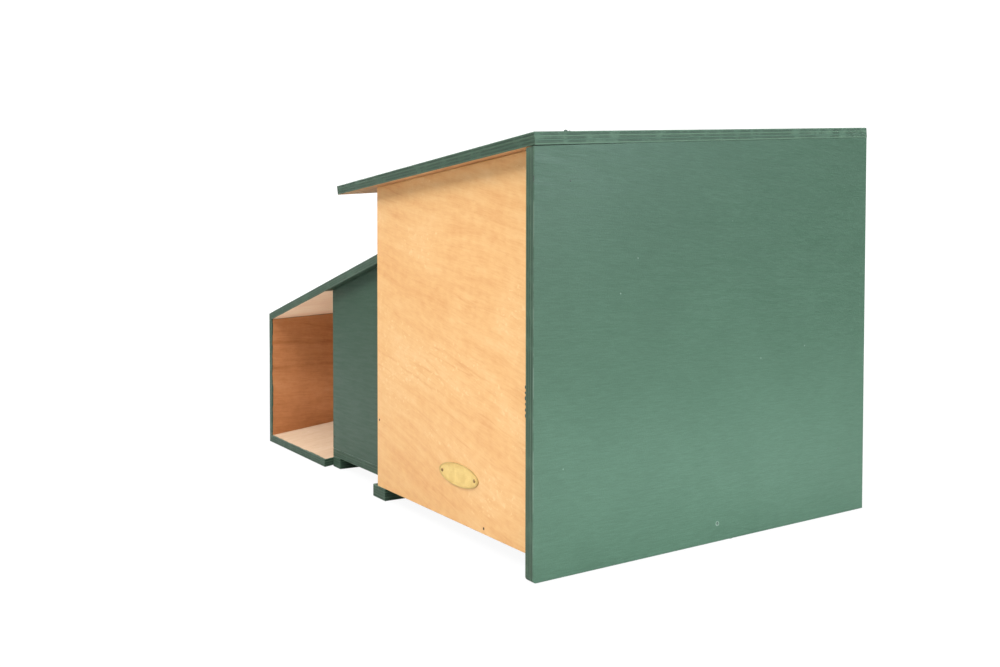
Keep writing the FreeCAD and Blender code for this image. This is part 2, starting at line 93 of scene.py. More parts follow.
BRASS = (0.74, 0.55, 0.20)
BRASS_DULL = (0.62, 0.42, 0.13)
PIN_BRASS = (0.40, 0.26, 0.11)
PIN_BRASS_DULL = (0.16, 0.10, 0.045)
HINGE_BRASS = (0.74, 0.53, 0.23)
HINGE_BRASS_DULL = (0.48, 0.31, 0.12)
STEEL = (0.42, 0.42, 0.41)
STEEL_DULL = (0.26, 0.26, 0.25)
DARK_STEEL = (0.12, 0.085, 0.055)
DARK_STEEL_DULL = (0.03, 0.022, 0.015)
LUMP_GREEN = (0.018, 0.034, 0.023)
SPLINTER_BROWN = (0.040, 0.028, 0.020)


# ---- node helpers --------------------------------------------------------------------------------

def put(tree, kind, settings=None, inputs=None):
    """Adds a shader node. Inputs are numbers, tuples or sockets to link from."""
    node = tree.nodes.new(kind)
    for key, value in (settings or {}).items():
        setattr(node, key, value)
    for key, value in (inputs or {}).items():
        if isinstance(value, bpy.types.NodeSocket):
            tree.links.new(value, node.inputs[key])
        else:
            node.inputs[key].default_value = value
    return node


def calc(tree, operation, a, b=0.0, clamp=False):
    settings = {"operation": operation, "use_clamp": clamp}
    return put(tree, "ShaderNodeMath", settings, {0: a, 1: b}).outputs[0]


def spread(tree, value, low, high, to_low=0.0, to_high=1.0, smooth=True):
    """Maps low..high of a value to to_low..to_high, held at the ends."""
    settings = {"interpolation_type": "SMOOTHSTEP" if smooth else "LINEAR", "clamp": True}
    inputs = {"Value": value, "From Min": low, "From Max": high, "To Min": to_low, "To Max": to_high}
    return put(tree, "ShaderNodeMapRange", settings, inputs).outputs[0]


def blend(tree, factor, a, b):
    """Colour a where factor is 0, colour b where it is 1."""
    node = put(tree, "ShaderNodeMix", {"data_type": "RGBA", "clamp_factor": True})
    for socket, value in ((node.inputs[0], factor), (node.inputs[6], a), (node.inputs[7], b)):
        if isinstance(value, bpy.types.NodeSocket):
            tree.links.new(value, socket)
        elif isinstance(value, tuple):
            socket.default_value = (*value, 1.0)
        else:
            socket.default_value = value
    return node.outputs[2]


def mix_value(tree, factor, a, b):
    node = put(tree, "ShaderNodeMix", {"data_type": "FLOAT", "clamp_factor": True})
    for socket, value in ((node.inputs[0], factor), (node.inputs[2], a), (node.inputs[3], b)):
        if isinstance(value, bpy.types.NodeSocket):
            tree.links.new(value, socket)
        else:
            socket.default_value = value
    return node.outputs[0]


def stretch(tree, vector, scales):
    return put(tree, "ShaderNodeVectorMath", {"operation": "MULTIPLY"}, {0: vector, 1: scales}).outputs[0]


def rough_noise(tree, vector, scale, detail=3.0, roughness=0.5, distortion=0.0):
    inputs = {"Vector": vector, "Scale": scale, "Detail": detail, "Roughness": roughness,
              "Distortion": distortion}
    return put(tree, "ShaderNodeTexNoise", None, inputs).outputs[0]


def dot(tree, vector, direction):
    node = put(tree, "ShaderNodeVectorMath", {"operation": "DOT_PRODUCT"}, {0: vector, 1: tuple(direction)})
    return node.outputs["Value"]


def three_tones(tree, factor, tones):
    node = put(tree, "ShaderNodeValToRGB", None, {"Fac": factor})
    stops = node.color_ramp.elements
    stops[0].position, stops[0].color = 0.18, (*tones[0], 1.0)
    stops[1].position, stops[1].color = 0.82, (*tones[2], 1.0)
    middle = stops.new(0.5)
    middle.color = (*tones[1], 1.0)
    return node.outputs[0]


def new_material(name):
    material = bpy.data.materials.new(name)
    material.use_nodes = True
    material.node_tree.nodes.clear()
    return material, material.node_tree


def finish_material(tree, colour, roughness, height, strength, **shader_inputs):
    """Principled surface with a bump from a height in millimetres."""
    distance = calc(tree, "MULTIPLY", height, 0.001)
    bump = put(tree, "ShaderNodeBump", None, {"Height": distance, "Strength": strength, "Distance": 1.0})
    inputs = {"Base Color": colour, "Roughness": roughness, "Normal": bump.outputs[0]}
    inputs.update(shader_inputs)
    surface = put(tree, "ShaderNodeBsdfPrincipled", None, inputs)
    output = put(tree, "ShaderNodeOutputMaterial")
    tree.links.new(surface.outputs[0], output.inputs[0])


# ---- veneer and paint ----------------------------------------------------------------------------

def board_space(tree, position, grain, normal):
    """(along the grain, across it, through the board) for a point of the board, in metres."""
    across = Vector(normal).cross(Vector(grain))
    parts = [dot(tree, position, axis) for axis in (grain, across, normal)]
    return put(tree, "ShaderNodeCombineXYZ", None, {0: parts[0], 1: parts[1], 2: parts[2]}).outputs[0]


def moved_on(tree, space, seed):
    """The same space seen at another place, so that no two boards show the same figure."""
    return put(tree, "ShaderNodeVectorMath", None, {0: space, 1: (seed, seed * 0.37, 0.0)}).outputs[0]


def grain_marks(tree, own_space, broken, marks):
    """Single long marks in a veneer. Each is (across, from, to, half width, depth), in the board's space;
    a negative depth makes a paler band."""
    axes = put(tree, "ShaderNodeSeparateXYZ", None, {0: own_space}).outputs
    waver = rough_noise(tree, stretch(tree, own_space, (14.0, 14.0, 1.0)), 1.0, 3.0)
    waver = calc(tree, "SUBTRACT", waver, 0.5)
    across = calc(tree, "ADD", axes[1], calc(tree, "MULTIPLY", waver, 0.012))
    total = 0.0
    for place, start, end, half_width, depth in marks:
        aside = calc(tree, "ABSOLUTE", calc(tree, "SUBTRACT", across, place))
        near = spread(tree, aside, 0.0, half_width, 1.0, 0.0)
        begun = spread(tree, axes[0], start, start + 0.03)
        ended = spread(tree, axes[0], end - 0.05, end, 1.0, 0.0)
        mark = calc(tree, "MULTIPLY", calc(tree, "MULTIPLY", near, begun), ended)
        patchy = spread(tree, broken, 0.0, 1.0, 0.55 * depth, depth)
        total = calc(tree, "ADD", total, calc(tree, "MULTIPLY", mark, patchy))
    return total


def veneer(tree, own_space, space, tones, figure):
    """Rotary-cut veneer: soft clouds, thin curved grain lines, fibres, pores and pale flecks."""
    bend = rough_noise(tree, stretch(tree, space, (3.4, 5.0, 1.0)), 1.0, 2.0, 0.45)
    bend = calc(tree, "MULTIPLY", calc(tree, "SUBTRACT", bend, 0.5), figure["bend"])
    shift = put(tree, "ShaderNodeCombineXYZ", None, {1: bend}).outputs[0]
    bent = put(tree, "ShaderNodeVectorMath", {"operation": "ADD"}, {0: space, 1: shift}).outputs[0]

    cloud = rough_noise(tree, stretch(tree, bent, (5.0, 12.0, 1.0)), 1.0, 4.0, 0.55, 0.5)
    contour = rough_noise(tree, stretch(tree, bent, (2.2, 21.0, 1.0)), 1.0, 4.0, 0.45)
    from_line = calc(tree, "ABSOLUTE", calc(tree, "SUBTRACT", contour, 0.5))
    broken = spread(tree, rough_noise(tree, stretch(tree, bent, (11.0, 26.0, 1.0)), 1.0, 3.0), 0.45, 0.65)
    lines = calc(tree, "MULTIPLY", spread(tree, from_line, 0.0, 0.012, 1.0, 0.0), broken)
    streaks = rough_noise(tree, stretch(tree, bent, (8.0, 95.0, 1.0)), 1.0, 4.0, 0.6, 0.3)
    marks = grain_marks(tree, own_space, broken, figure["marks"])
    fibres = rough_noise(tree, stretch(tree, bent, (60.0, 620.0, 1.0)), 1.0, 3.0, 0.65)
    mottle = rough_noise(tree, stretch(tree, space, (95.0, 95.0, 1.0)), 1.0, 3.0, 0.6)
    pores = rough_noise(tree, stretch(tree, bent, (110.0, 1100.0, 1.0)), 1.0, 1.0)
    pores = spread(tree, pores, 0.64, 0.76)
    flecks = rough_noise(tree, stretch(tree, bent, (190.0, 240.0, 1.0)), 1.0, 2.0, 0.5, 0.4)
    flecks = calc(tree, "MULTIPLY", spread(tree, flecks, 0.60, 0.72), spread(tree, cloud, 0.5, 0.62))

    tone = 0.5
    terms = ((cloud, 0.5, figure["cloud"]), (streaks, 0.5, figure["streak"]),
             (fibres, 0.5, figure["fibre"]), (mottle, 0.5, figure["mottle"]),
             (lines, 0.0, -figure["line"]), (flecks, 0.0, figure["fleck"]), (marks, 0.0, -1.0))
    for value, middle, depth in terms:
        tone = calc(tree, "ADD", tone, calc(tree, "MULTIPLY", calc(tree, "SUBTRACT", value, middle), depth))
    colour = three_tones(tree, tone, tones)
    colour = blend(tree, calc(tree, "MULTIPLY", pores, figure["pore"]), colour, figure["pore_colour"])
    height = calc(tree, "ADD", calc(tree, "MULTIPLY", fibres, 0.035), calc(tree, "MULTIPLY", pores, -0.04))
    roughness = spread(tree, fibres, 0.3, 0.7, figure["gloss"] - 0.05, figure["gloss"] + 0.06)
    return colour, roughness, height


def ply_lines(tree, depth, along_noise):
    """0 in a glue line, 1 in the layers between, and the number of the layer."""
    layer = calc(tree, "MULTIPLY", depth, PLIES / BOARD)
    wobble = calc(tree, "MULTIPLY", calc(tree, "SUBTRACT", along_noise, 0.5), 0.4)
    phase = calc(tree, "FRACT", calc(tree, "ADD", layer, wobble))
    from_middle = calc(tree, "ABSOLUTE", calc(tree, "SUBTRACT", phase, 0.5))
    return spread(tree, from_middle, 0.5, 0.36), layer


def specks(tree, position, cells, size, share, seed):
    """Small round marks in this share of the cells of a grid that has so many cells per metre."""
    moved = put(tree, "ShaderNodeVectorMath", None, {0: position, 1: (seed, seed, seed)}).outputs[0]
    grid = put(tree, "ShaderNodeTexVoronoi", None, {"Vector": moved, "Scale": cells})
    near = spread(tree, grid.outputs["Distance"], size, size * 0.6)
    chance = put(tree, "ShaderNodeTexWhiteNoise", {"noise_dimensions": "3D"},
                 {"Vector": grid.outputs["Position"]}).outputs[0]
    return calc(tree, "MULTIPLY", near, calc(tree, "LESS_THAN", chance, share))


def paint(tree, space, depth, edge, corner, position):
    """Satin paint over veneer. The plies show through on sawn edges."""
    fibre = rough_noise(tree, stretch(tree, space, (85.0, 800.0, 120.0)), 1.0, 3.0, 0.66, 0.2)
    brush = rough_noise(tree, stretch(tree, space, (20.0, 240.0, 60.0)), 1.0, 3.0, 0.6)
    grit = rough_noise(tree, position, 800.0, 2.0, 0.5)
    blotch = rough_noise(tree, position, 7.5, 4.0, 0.6, 0.4)
    tone = 0.5
    for value, strength in ((fibre, 1.0), (brush, 0.10), (grit, 0.70), (blotch, 0.50)):
        tone = calc(tree, "ADD", tone, calc(tree, "MULTIPLY", calc(tree, "SUBTRACT", value, 0.5), strength))
    colour = three_tones(tree, tone, (GREEN_SHADE, GREEN, GREEN_PALE))

    along = rough_noise(tree, position, 34.0, 2.0, 0.5)
    layers, layer = ply_lines(tree, depth, along)
    broken = spread(tree, rough_noise(tree, position, 60.0, 3.0, 0.6), 0.32, 0.52, 0.15, 1.0)
    end_grain = calc(tree, "MULTIPLY", calc(tree, "MODULO", calc(tree, "FLOOR", layer), 2.0), 0.50)
    hollow = calc(tree, "MAXIMUM", calc(tree, "SUBTRACT", 1.0, layers), end_grain)
    hollow = calc(tree, "MULTIPLY", hollow, broken)
    layer_noise = put(tree, "ShaderNodeTexWhiteNoise", {"noise_dimensions": "1D"},
                      {"W": calc(tree, "FLOOR", layer)}).outputs[0]
    fray = rough_noise(tree, stretch(tree, space, (90.0, 90.0, 900.0)), 1.0, 3.0, 0.65)
    by_layer = calc(tree, "MULTIPLY", layer_noise, 0.30)
    edge_tone = calc(tree, "ADD", by_layer, calc(tree, "MULTIPLY", fray, 0.9))
    edge_colour = three_tones(tree, edge_tone, (GREEN, GREEN_PALE, EDGE_GREEN))
    edge_colour = blend(tree, calc(tree, "MULTIPLY", hollow, 0.9), edge_colour, DEEP_GREEN)
    colour = blend(tree, edge, colour, edge_colour)
    # Chamfered corners are paler at random: part worn paint, part painted highlight where a rounded corner
    # would catch light.
    corner_wear_and_highlight = spread(tree, rough_noise(tree, position, 45.0, 3.0, 0.6), 0.40, 0.60, 0.1, 0.6)
    colour = blend(tree, calc(tree, "MULTIPLY", corner, corner_wear_and_highlight), colour, PALEST_GREEN)

    pale = specks(tree, position, 48.0, 0.055, 0.012, 0.0)
    dark = specks(tree, position, 60.0, 0.045, 0.020, 3.7)
    colour = blend(tree, calc(tree, "MULTIPLY", pale, 0.55), colour, PALEST_GREEN)
    colour = blend(tree, calc(tree, "MULTIPLY", dark, 0.55), colour, DEEP_GREEN)

    face_height = calc(tree, "MULTIPLY", fibre, 0.095)
    face_height = calc(tree, "ADD", face_height, calc(tree, "MULTIPLY", brush, 0.008))
    face_height = calc(tree, "ADD", face_height, calc(tree, "MULTIPLY", grit, 0.045))
    edge_height = calc(tree, "MULTIPLY", hollow, -0.20)
    edge_height = calc(tree, "ADD", edge_height, calc(tree, "MULTIPLY", fray, 0.20))
    height = mix_value(tree, edge, face_height, edge_height)
    roughness = mix_value(tree, edge, spread(tree, brush, 0.3, 0.7, 0.36, 0.48), 0.5)
    return colour, roughness, height


def with_long_marks(figure, name, grain, normal, seed, count, thin, strong, length):
    """The same figure with long marks at random places of a node's box. Every third is a wide paler
    band and the others are dark. A dark mark's half width is about `thin`, and its depth is about
    `strong`."""
    low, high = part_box(name)
    corners = [Vector(corner) for corner in product(*zip(low, high))]
    across = [corner.dot(Vector(normal).cross(Vector(grain))) for corner in corners]
    along = [corner.dot(Vector(grain)) for corner in corners]
    chance = random.Random(seed)
    marks = []
    for number in range(count):
        place = chance.uniform(min(across), max(across))
        middle = chance.uniform(min(along), max(along))
        half_length = 0.5 * length * chance.uniform(0.6, 1.2)
        half_width = thin * chance.uniform(0.8, 1.4)
        depth = strong * chance.uniform(0.6, 1.4)
        if number % 3 == 2:
            half_width, depth = 6.0 * half_width, -depth
        marks.append((place, middle - half_length, middle + half_length, half_width, depth))
    return {**figure, "marks": tuple(marks)}


BARE = {"bend": 0.035, "cloud": 1.0, "streak": 0.60, "fibre": 0.35, "mottle": 0.30, "line": 0.35,
        "fleck": 0.15, "pore": 0.35, "pore_colour": (0.16, 0.07, 0.03), "gloss": 0.62, "marks": ()}
FRONT = {"bend": 0.035, "cloud": 0.75, "streak": 0.55, "fibre": 0.50, "mottle": 0.36, "line": 0.18,
         "fleck": 0.55, "pore": 0.16, "pore_colour": (0.36, 0.16, 0.05), "gloss": 0.45, "marks": ()}
STRIPED = {"bend": 0.05, "cloud": 0.7, "streak": 0.45, "fibre": 0.36, "mottle": 0.30, "line": 0.18,
           "fleck": 0.10, "pore": 0.14, "pore_colour": (0.14, 0.05, 0.018), "gloss": 0.55, "marks": ()}
QUIET = {"bend": 0.03, "cloud": 0.7, "streak": 0.38, "fibre": 0.25, "mottle": 0.35, "line": 0.16,
         "fleck": 0.20, "pore": 0.20, "pore_colour": (0.30, 0.17, 0.09), "gloss": 0.6, "marks": ()}


def raw_edge(tree, space, depth, position):
    """Sawn plywood edge: alternate layers of long grain and open end grain, with dark glue lines."""
    wobble = rough_noise(tree, position, 30.0, 2.0)
    layers, layer = ply_lines(tree, depth, wobble)
    cross = calc(tree, "MODULO", calc(tree, "FLOOR", layer), 2.0)
    grain = rough_noise(tree, stretch(tree, space, (240.0, 240.0, 900.0)), 1.0, 3.0, 0.7)
    light = blend(tree, grain, (0.37, 0.21, 0.10), (0.51, 0.335, 0.18))
    dark = blend(tree, grain, (0.17, 0.082, 0.032), (0.31, 0.175, 0.08))
    colour = blend(tree, cross, light, dark)
    colour = blend(tree, calc(tree, "SUBTRACT", 1.0, layers), colour, (0.07, 0.035, 0.016))
    height = calc(tree, "ADD", calc(tree, "MULTIPLY", grain, 0.2), calc(tree, "MULTIPLY", layers, 0.15))
    return colour, calc(tree, "ADD", calc(tree, "MULTIPLY", grain, 0.1), 0.68), height


def over(tree, mask, under, top):
    """Colour, roughness and height of `top` where mask is 1 and of `under` elsewhere."""
    return (blend(tree, mask, under[0], top[0]), mix_value(tree, mask, under[1], top[1]),
            mix_value(tree, mask, under[2], top[2]))


def board_material(name, grain, normal, surface, wood=None, paint_mask=None, seed=0.0):
    """One board's finish. `surface` is a point on the face that `normal` looks out from. `wood` is its
    (tones, figure), or None where nothing bare shows. paint_mask(tree, position, facing) is 1 where it
    is painted; without wood it is painted all over, and without a mask it is bare all over."""
    material, tree = new_material("finish_" + name)
    coords = put(tree, "ShaderNodeTexCoord")
    position = coords.outputs["Object"]
    facing = coords.outputs["Normal"]
    own_space = board_space(tree, position, grain, normal)
    space = moved_on(tree, own_space, seed)
    depth = calc(tree, "SUBTRACT", Vector(surface).dot(Vector(normal)), dot(tree, position, normal))
    square_on = calc(tree, "ABSOLUTE", dot(tree, facing, normal))
    edge = spread(tree, square_on, 0.35, 0.6, 1.0, 0.0)
    # Chamfer faces. paint() makes them paler at random, part wear and part painted highlight.
    off_diagonal = calc(tree, "ABSOLUTE", calc(tree, "SUBTRACT", square_on, 0.707))
    corner = spread(tree, off_diagonal, 0.03, 0.12, 1.0, 0.0)
    if wood is None:
        finish = paint(tree, space, depth, edge, corner, position)
    else:
        tones, figure = wood
        finish = over(tree, edge, veneer(tree, own_space, space, tones, figure),
                      raw_edge(tree, space, depth, position))
        if paint_mask is not None:
            painted = paint(tree, space, depth, edge, corner, position)
            finish = over(tree, paint_mask(tree, position, facing), finish, painted)
    colour, roughness, height = finish
    finish_material(tree, colour, roughness, height, 1.0, **{"Specular IOR Level": SHINE})
    return material


# ---- paint masks ---------------------------------------------------------------------------------

def step(tree, position, axis, start):
    """1 beyond start along the axis, 0 before it. The line wavers by about a millimetre, as a brush does."""
    waver = calc(tree, "SUBTRACT", rough_noise(tree, position, 70.0, 3.0), 0.5)
    along = calc(tree, "ADD", dot(tree, position, axis), calc(tree, "MULTIPLY", waver, 0.004))
    return calc(tree, "GREATER_THAN", along, start)


def bare_facing(direction, axis=None, start=0.0, reach=0.8):
    """Painted, except for faces that look this way and, with an axis, lie beyond start along it."""
    def mask(tree, position, facing):
        bare = calc(tree, "GREATER_THAN", dot(tree, facing, direction), reach)
        if axis is not None:
            bare = calc(tree, "MULTIPLY", bare, step(tree, position, axis, start))
        return calc(tree, "SUBTRACT", 1.0, bare)
    return mask


def painted_above(normal, point):
    """Painted on the face that looks to the left, above the plane through the point."""
    def mask(tree, position, facing):
        height = dot(tree, position, normal)
        outward = calc(tree, "GREATER_THAN", dot(tree, facing, NEG_X), 0.5)
        return calc(tree, "MULTIPLY", outward, calc(tree, "GREATER_THAN", height, point.dot(normal)))
    return mask


# ---- which board is finished how -----------------------------------------------------------------

def give(name, material):
    """Puts one material in every slot of a CAD node."""
    mesh_object = NODES[name]
    if not mesh_object.material_slots:
        mesh_object.data.materials.append(material)
    for slot in mesh_object.material_slots:
        slot.material = material


def dress(name, grain, normal, wood=None, paint_mask=None, seed=0.0, surface=None):
    """Finishes one board, taking the face that `normal` looks out from off the node's own box."""
    low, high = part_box(name)
    if surface is None:
        surface = high if sum(normal) > 0 else low
    give(name, board_material(name, grain, normal, surface, wood, paint_mask, seed))


def slope_normal(rise_x, rise_y):
    return Vector((-rise_x, -rise_y, 1.0)).normalized()


def dress_chamber():
    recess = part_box("front_panel")[0].y
    inside = bare_facing(NEG_X, Y, recess)
    dress("right_side_panel", Y, X, (WARM_TONES, BARE), inside, 1.7)
    marked = with_long_marks(FRONT, "front_panel", FRONT_GRAIN, NEG_Y, seed=12, count=6,
                             thin=0.0020, strong=0.26, length=0.24)
    dress("front_panel", FRONT_GRAIN, NEG_Y, (FRONT_TONES, marked), seed=3.15)
    dress("chamber_back_panel", X, Y, (WARM_TONES, BARE), bare_facing(NEG_Y), 4.1)
    dress("chamber_floor", X, Z, (WARM_TONES, BARE), None, 6.3)
    porch_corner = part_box("porch_roof")[1]
    above_porch = painted_above(slope_normal(*PORCH_ROOF_RISE), porch_corner)
    dress("chamber_left_wall", Y, NEG_X, (WARM_TONES, BARE), above_porch, 8.9)


def main_roof_underside(normal):
    """Bare under the roof, but painted where it lies on the side panel."""
    def mask(tree, position, facing):
        under = calc(tree, "GREATER_THAN", dot(tree, facing, -normal), 0.6)
        over_side = step(tree, position, X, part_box("right_side_panel")[0].x + SIDE_LAP)
        bare = calc(tree, "MULTIPLY", under, calc(tree, "SUBTRACT", 1.0, over_side))
        return calc(tree, "SUBTRACT", 1.0, bare)
    return mask


def porch_roof_underside(normal, front):
    """Bare over the alcove and behind the passage's front wall, painted over the wall's own face."""
    def mask(tree, position, facing):
        bare = calc(tree, "GREATER_THAN", dot(tree, facing, -normal), 0.8)
        over_alcove = calc(tree, "SUBTRACT", 1.0, step(tree, position, X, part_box("passage_floor")[0].x))
        behind_edge = step(tree, position, Y, front + PAINT_LAP)
        behind_wall = step(tree, position, Y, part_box("passage_front_wall")[1].y)
        inside = calc(tree, "MAXIMUM", calc(tree, "MULTIPLY", over_alcove, behind_edge), behind_wall)
        return calc(tree, "SUBTRACT", 1.0, calc(tree, "MULTIPLY", bare, inside))
    return mask


def dress_roofs():
    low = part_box("main_roof")[0]
    normal = slope_normal(0.0, MAIN_ROOF_RISE)
    top_point = low + normal * BOARD
    dress("main_roof", X, normal, (WARM_TONES, BARE), main_roof_underside(normal), 11.3, top_point)
    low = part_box("porch_roof")[0]
    normal = slope_normal(*PORCH_ROOF_RISE)
    top_point = low + normal * BOARD
    underside = porch_roof_underside(normal, low.y)
    dress("porch_roof", Y, normal, (CEILING_TONES, QUIET), underside, 13.9, top_point)


def dress_porch():
    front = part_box("alcove_end_wall")[0].y
    striped = with_long_marks(STRIPED, "alcove_end_wall", Y, NEG_X, seed=4, count=7,
                              thin=0.0045, strong=0.15, length=1.0)
    dress("alcove_end_wall", Y, NEG_X, (RED_TONES, striped), bare_facing(X, Y, front + PAINT_LAP), 15.2)
    dress("passage_front_wall", X, NEG_Y, (WARM_TONES, BARE), bare_facing(Y), 17.6)
    dress("entrance_partition", Y, NEG_X, (WARM_TONES, BARE), None, 19.4)
    dress("porch_back_panel", X, Y, (RED_TONES, BARE), bare_facing(NEG_Y), 21.8)
    floor_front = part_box("passage_floor")[0].y
    dress("passage_floor", Y, Z, (PALE_TONES, QUIET), bare_facing(Z, Y, floor_front + PAINT_LAP), 23.5)
    dress("alcove_floor", Y, Z, (PALE_TONES, QUIET), None, 25.1)
    ramp_low, ramp_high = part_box("alcove_ramp")
    run = ramp_high.y - ramp_low.y
    normal = slope_normal(0.0, (ramp_high.z - ramp_low.z - BOARD) / run)
    lip_top = Vector((ramp_low.x, ramp_low.y, BOARD))
    top_face = bare_facing(normal, Y, ramp_low.y + PAINT_LAP)
    dress("alcove_ramp", Y, normal, (PALE_TONES, QUIET), top_face, 25.1, lip_top)


def dress_battens():
    dress("near_runner", Y, NEG_Z, seed=27.7)
    dress("far_runner", Y, NEG_Z, seed=29.2)
    dress("alcove_front_batten", X, NEG_Z, seed=31.4)
    dress("alcove_rear_batten", X, NEG_Z, seed=33.8)


# ---- metal ---------------------------------------------------------------------------------------

def brushed_metal(name, colour, dull, stretch_by, roughness, metallic=1.0, rim=None):
    """Metal with fine drawn lines and a little tarnish. A lower `metallic` keeps more plain colour, so
    that the metal mirrors less. It is darker where rim(tree, position) is 1."""
    material, tree = new_material(name)
    position = put(tree, "ShaderNodeTexCoord").outputs["Object"]
    lines = rough_noise(tree, stretch(tree, position, stretch_by), 1.0, 3.0, 0.6)
    tarnish = rough_noise(tree, position, 95.0, 3.0, 0.6, 0.5)
    shade = calc(tree, "ADD", calc(tree, "MULTIPLY", lines, 0.35), calc(tree, "MULTIPLY", tarnish, 0.55))
    tone = blend(tree, spread(tree, shade, 0.3, 0.62), dull, colour)
    # Painted shade: the metal is darker towards a plate's rim, where its edge would be in shade.
    if rim is not None:
        tone = blend(tree, rim(tree, position), tone, tuple(0.5 * c for c in dull))
    rough = spread(tree, lines, 0.3, 0.7, roughness - 0.06, roughness + 0.08)
    finish_material(tree, tone, rough, calc(tree, "MULTIPLY", lines, 0.012), 1.0, Metallic=metallic)
    return material


def oval_rim(name, share):
    """1 around the rim of an oval plate that faces forward, 0 in its middle."""
    low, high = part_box(name)
    middle, half = (low + high) / 2, (high - low) / 2
    def mask(tree, position):
        away = put(tree, "ShaderNodeVectorMath", {"operation": "SUBTRACT"}, {0: position, 1: middle})
        scaled = stretch(tree, away.outputs[0], (1.0 / half.x, 0.0, 1.0 / half.z))
        radius = put(tree, "ShaderNodeVectorMath", {"operation": "LENGTH"}, {0: scaled}).outputs["Value"]
        return spread(tree, radius, share, 1.0, 0.0, 0.6)
    return mask


def dress_metal():
    # The badge's rim gets a painted shade, darker towards its edge.
    rim = oval_rim("badge_plate", 0.89)
    along_x, any_way = (60.0, 900.0, 900.0), (700.0, 700.0, 700.0)
    badge = brushed_metal("brass_badge", BRASS, BRASS_DULL, (90.0, 300.0, 2600.0), 0.42,
                          metallic=0.45, rim=rim)
    give("badge_plate", badge)
    pins = brushed_metal("brass_pins", PIN_BRASS, PIN_BRASS_DULL, (900.0, 900.0, 900.0), 0.5)
    give("badge_pins", pins)
    hinges = brushed_metal("brass_hinges", HINGE_BRASS, HINGE_BRASS_DULL, along_x, 0.34)
    for name in ("hinge_panel_leaves", "hinge_roof_leaves", "hinge_panel_screws", "hinge_roof_screws"):
        give(name, hinges)
    give("hinge_pins", brushed_metal("steel_pins", STEEL, STEEL_DULL, along_x, 0.33))
    nails = brushed_metal("weathered_nails", DARK_STEEL, DARK_STEEL_DULL, any_way, 0.6)
    for name in NODES:
        if name.endswith("_nails"):
            give(name, nails)
    screw = brushed_metal("painted_screw", PALEST_GREEN, GREEN_SHADE, any_way, 0.5, metallic=0.1)
    give("side_panel_screw", screw)


# ---- small marks of making and wear --------------------------------------------------------------

def pebble(mesh, place, radii, seed):
    """Adds one small lumpy bead to a mesh, about as big as its three radii."""
    made = bmesh.ops.create_icosphere(mesh, subdivisions=2, radius=1.0)
    for vertex in made["verts"]:
        lump = 1.0 + 0.35 * noise.noise(vertex.co * 1.7 + Vector((seed, 0.0, 0.0)))
        vertex.co = Vector(place) + Vector([c * lump * radius for c, radius in zip(vertex.co, radii)])


def beads(name, body, spots, material):
    """One piece made of small beads, each given as (place, radii)."""
    mesh = bmesh.new()
    for number, (place, radii) in enumerate(spots):
        pebble(mesh, place, radii, 2.3 * number)
    data = bpy.data.meshes.new(name)
    mesh.to_mesh(data)
    mesh.free()
    data.materials.append(material)
    piece = bpy.data.objects.new(name, data)
    bpy.context.collection.objects.link(piece)
    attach(piece, body)


def plain_material(name, colour, roughness):
    material, tree = new_material(name)
    position = put(tree, "ShaderNodeTexCoord").outputs["Object"]
    grit = rough_noise(tree, position, 900.0, 2.0)
    tone = blend(tree, grit, tuple(0.75 * c for c in colour), tuple(1.25 * c for c in colour))
    finish_material(tree, tone, roughness, calc(tree, "MULTIPLY", grit, 0.05), 1.0)
    return material


def nibs_on_side(count, size, seed):
    """Small nibs of paint at random places on the side panel's outer face, clear of its edges."""
    low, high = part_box("right_side_panel")
    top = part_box("front_panel")[1].z
    chance = random.Random(seed)
    spots = []
    for _ in range(count):
        along = chance.uniform(low.y + NIB_MARGIN, high.y - NIB_MARGIN)
        height = chance.uniform(low.z + NIB_MARGIN, top - NIB_MARGIN)
        spots.append(((high.x, along, height), (0.0002, size, size)))
    return spots


def lumps_on_side_edges(low, high):
    """Six lumps of paint up the inner front edge, and one each on the outer front and bottom edges."""
    chance = random.Random(9)
    spots = []
    for number in range(6):
        size = chance.uniform(0.5, 1.0)
        height = 0.145 + 0.005 * number
        place = (low.x - 0.0002, low.y + 0.0007, height)
        spots.append((place, (0.0011 * size, 0.0012, 0.0026 * size)))
    spots.append(((high.x - 0.0004, low.y + 0.0003, 0.35), (0.0008, 0.0005, 0.0034)))
    spots.append(((high.x - 0.0006, 0.01, 0.0004), (0.0006, 0.0026, 0.0007)))
    return spots


def lump_on_roof_edge(low, high):
    """A run of paint in two beads on the roof's right edge, a little behind the front corner."""
    back = 0.035
    top = low.z + BOARD + MAIN_ROOF_RISE * back
    return [((high.x - 0.0010, low.y + back, top), (0.0009, 0.0022, 0.0011)),
            ((high.x - 0.0012, low.y + back + 0.0045, top + 0.0002), (0.0007, 0.0015, 0.0006))]


def splinters(panel_low, side_low):
    """Two dark splinters where the front panel's bottom edge meets the side panel."""
    return [((side_low.x - 0.0016, panel_low.y - 0.0002, panel_low.z - 0.0008), (0.0019, 0.0012, 0.0013)),
            ((side_low.x - 0.0006, panel_low.y - 0.0004, panel_low.z - 0.0028), (0.0009, 0.0010, 0.0018))]


def add_wear():
    """Small marks on the side panel, the roof's edge and the front panel's corner."""
    side_low, side_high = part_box("right_side_panel")
    lump_green = plain_material("paint_lumps", LUMP_GREEN, 0.6)
    nib_green = plain_material("pale_paint_nibs", NIB_GREEN, 0.5)
    beads("side_panel_paint_lumps", "box", lumps_on_side_edges(side_low, side_high), lump_green)
    beads("side_panel_pale_nibs", "box", nibs_on_side(count=4, size=0.0009, seed=21), nib_green)
    beads("side_panel_dark_nibs", "box", nibs_on_side(count=2, size=0.0010, seed=22), lump_green)
    beads("roof_paint_lump", "roof", lump_on_roof_edge(*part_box("main_roof")), lump_green)
    splinter = plain_material("front_corner_splinter", SPLINTER_BROWN, 0.8)
    beads("front_corner_splinters", "box", splinters(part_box("front_panel")[0], side_low), splinter)


# ---- floor, light and camera ---------------------------------------------------------------------

